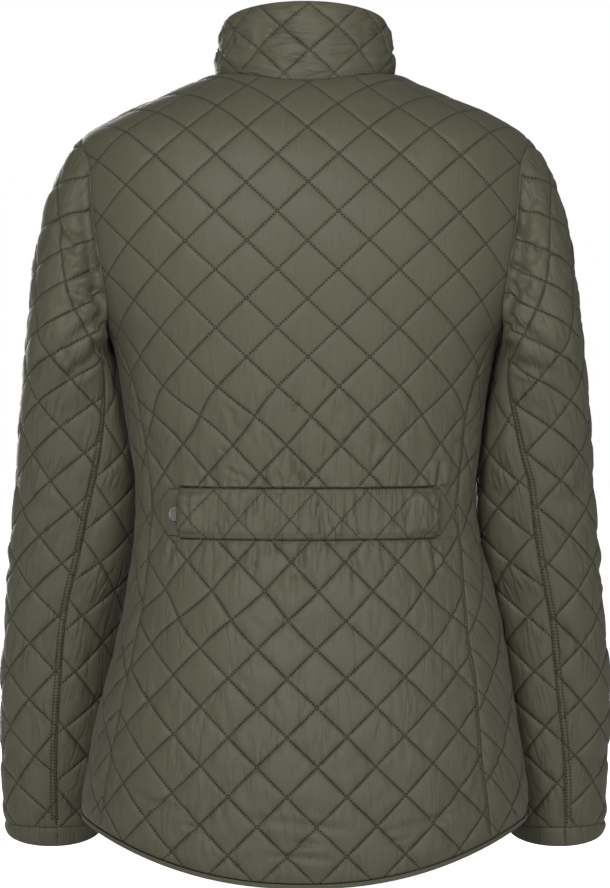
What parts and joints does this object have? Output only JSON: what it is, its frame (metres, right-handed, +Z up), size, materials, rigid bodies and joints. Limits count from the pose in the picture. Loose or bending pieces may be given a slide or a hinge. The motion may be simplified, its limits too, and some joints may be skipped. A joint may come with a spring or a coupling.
{
  "type": "quilted jacket",
  "caption": "Waisted jacket of diamond-quilted nylon with a stand collar, long sleeves, a curved hem and a gathered strip with tabs across the back of the waist.",
  "frame": {"origin": "middle of the neck opening, level with the inner ends of the shoulders, where the jacket hangs from when it is held up", "axes": "+Z up, -Y out of the jacket's front, +X to the wearer's left"},
  "size_m": [0.5492, 0.2893, 0.7614],
  "materials": {
    "quilted_nylon": "woven nylon, satin, stitched in diamonds",
    "plain_nylon": "woven nylon, satin, unquilted",
    "snap": "satin metal"
  },
  "bodies": {
    "root": {"back": "quilted_nylon", "front_left": "quilted_nylon", "front_right": "quilted_nylon", "collar": "quilted_nylon", "sleeve_left": "quilted_nylon", "sleeve_right": "quilted_nylon", "cuff_band_left": "plain_nylon", "cuff_band_right": "plain_nylon", "hem_binding": "plain_nylon", "waist_casing": "quilted_nylon", "waist_tab_left": "plain_nylon", "waist_tab_right": "plain_nylon", "tab_snap_left": "snap", "tab_snap_right": "snap", "front_snap_1": "snap", "front_snap_2": "snap", "front_snap_3": "snap", "front_snap_4": "snap", "front_snap_5": "snap", "front_snap_6": "snap"}
  },
  "joints": []
}
